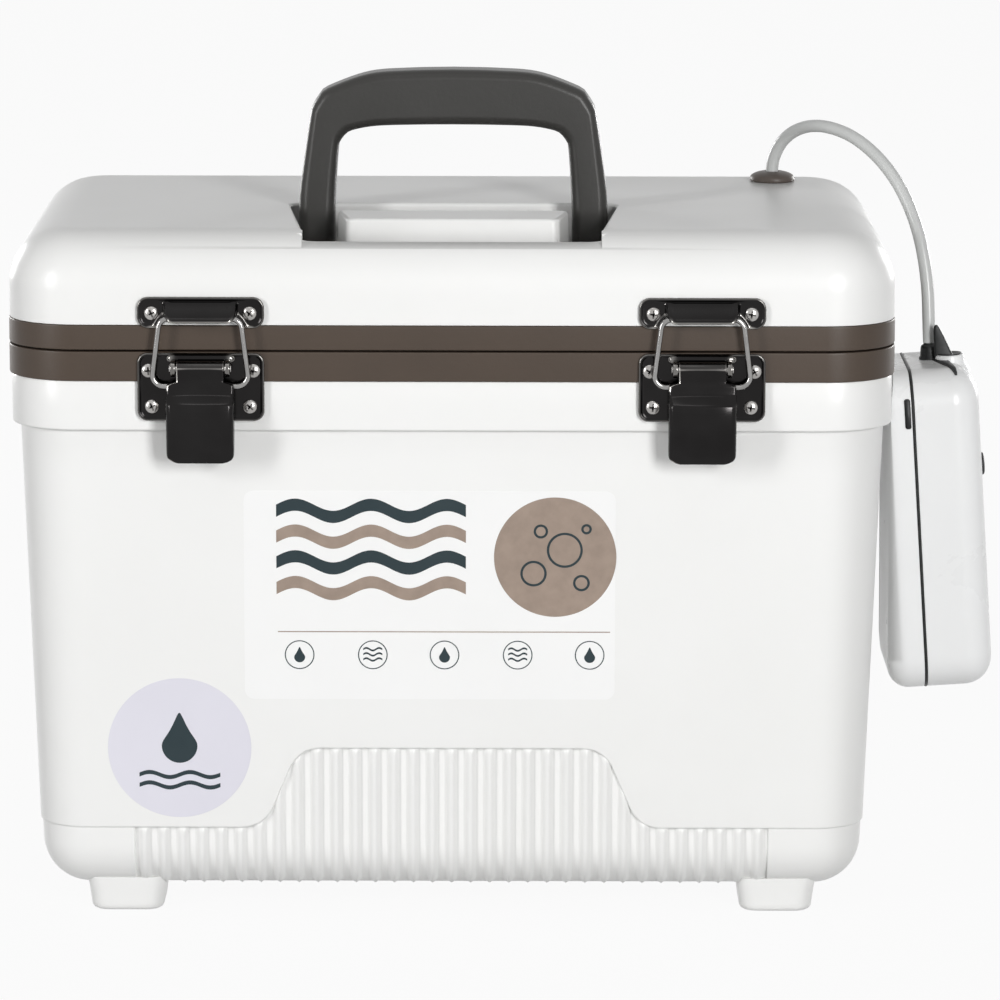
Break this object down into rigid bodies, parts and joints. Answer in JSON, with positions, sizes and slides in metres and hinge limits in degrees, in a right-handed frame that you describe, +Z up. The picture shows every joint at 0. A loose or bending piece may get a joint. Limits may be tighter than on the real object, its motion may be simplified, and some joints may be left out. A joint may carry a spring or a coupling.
{
  "type": "aerated bait cooler box",
  "caption": "Insulated bait cooler box with ribbed front, hinged lid, folding handle, draw latches and a clip-on battery air pump with its hose.",
  "frame": {"origin": "on the floor, centred between the four feet, under the middle of the box without its pump", "axes": "+X towards the pump end, +Y towards the lid hinges at the back, +Z up; the latches face -Y"},
  "size_m": [0.418, 0.2486, 0.3513],
  "materials": {
    "shell": "white moulded plastic, gloss",
    "pump_case": "white moulded plastic, gloss",
    "liner": "white moulded plastic",
    "foam": "rigid foam",
    "band": "taupe moulded plastic, satin",
    "latch": "black-nickel plated steel, polished",
    "screw": "bright plated steel",
    "wire": "bright plated steel wire",
    "seal": "black rubber",
    "gasket": "grey soft rubber",
    "grommet": "dark taupe rubber",
    "button": "dark rubber",
    "battery": "wrapped cells",
    "motor": "plated can",
    "crank": "turned",
    "chamber": "moulded",
    "switch": "moulded",
    "hose": "translucent grey air hose",
    "stone": "porous air stone",
    "handle": "dark grey moulded plastic, satin"
  },
  "bodies": {
    "tub": {"tub_shell": "shell", "tub_foam": "foam", "tub_liner": "liner", "tub_band": "band", "latch_base_left": "latch", "latch_base_right": "latch", "lever_pins": "screw", "latch_base_screws": "screw", "hinge_lower_leaves": "latch", "hinge_pins": "screw", "hinge_lower_screws": "screw", "pump_bracket": "pump_case", "pump_bracket_screws": "screw", "pump_clip": "pump_case", "pump_back_shell": "pump_case", "pump_seal": "seal", "pump_front_shell": "pump_case", "pump_case_screws": "screw", "battery_cells": "battery", "battery_contacts": "screw", "pump_motor": "motor", "air_chamber": "chamber", "air_outlet": "seal", "port_plug": "seal", "pump_switch": "switch", "air_hose_outside": "hose", "air_hose_inside": "hose", "air_stone": "stone"},
    "lid": {"lid_shell": "shell", "lid_foam": "foam", "lid_liner": "liner", "lid_band": "band", "lid_gasket": "gasket", "keeper_left": "latch", "keeper_right": "latch", "keeper_screws": "screw", "hose_grommet": "grommet", "hinge_upper_leaves": "latch", "hinge_upper_screws": "screw", "handle_pins": "screw"},
    "handle": {"handle": "handle"},
    "lever_left": {"lever_left": "latch"},
    "lever_right": {"lever_right": "latch"},
    "bail_left": {"bail_left": "wire"},
    "bail_right": {"bail_right": "wire"},
    "button": {"pump_button": "button"},
    "crank": {"motor_crank": "crank"}
  },
  "joints": [
    {"name": "lid_hinge", "type": "hinge", "parent": "tub", "child": "lid", "pos_m": [0, 0.1185, 0.2435], "axis": [-1, 0, 0], "range_deg": [0, 95], "deforming": ["air_hose_outside", "air_hose_inside"]},
    {"name": "handle_fold", "type": "hinge", "parent": "lid", "child": "handle", "pos_m": [0, -0.018, 0.2805], "axis": [1, 0, 0], "range_deg": [0, 90]},
    {"name": "left_lever", "type": "hinge", "parent": "tub", "child": "lever_left", "pos_m": [-0.1035, -0.1181, 0.237], "axis": [-1, 0, 0], "range_deg": [0, 95]},
    {"name": "left_bail", "type": "hinge", "parent": "lever_left", "child": "bail_left", "pos_m": [-0.1035, -0.1181, 0.2297], "axis": [-1, 0, 0], "range_deg": [-76.5, 0]},
    {"name": "right_lever", "type": "hinge", "parent": "tub", "child": "lever_right", "pos_m": [0.1035, -0.1181, 0.237], "axis": [-1, 0, 0], "range_deg": [0, 95]},
    {"name": "right_bail", "type": "hinge", "parent": "lever_right", "child": "bail_right", "pos_m": [0.1035, -0.1181, 0.2297], "axis": [-1, 0, 0], "range_deg": [-76.5, 0]},
    {"name": "button_press", "type": "slide", "parent": "tub", "child": "button", "axis": [-0.9978, 0, -0.0663], "range_m": [0, 0.002], "stiffness_N_per_m": 400},
    {"name": "crank_spin", "type": "hinge", "parent": "tub", "child": "crank", "pos_m": [0.20028, 0, 0.1747], "axis": [0, 1, 0], "continuous": true}
  ],
  "couplings": [
    {"joint": "left_bail", "follows": "left_lever", "ratio": -0.8},
    {"joint": "right_bail", "follows": "right_lever", "ratio": -0.8}
  ]
}
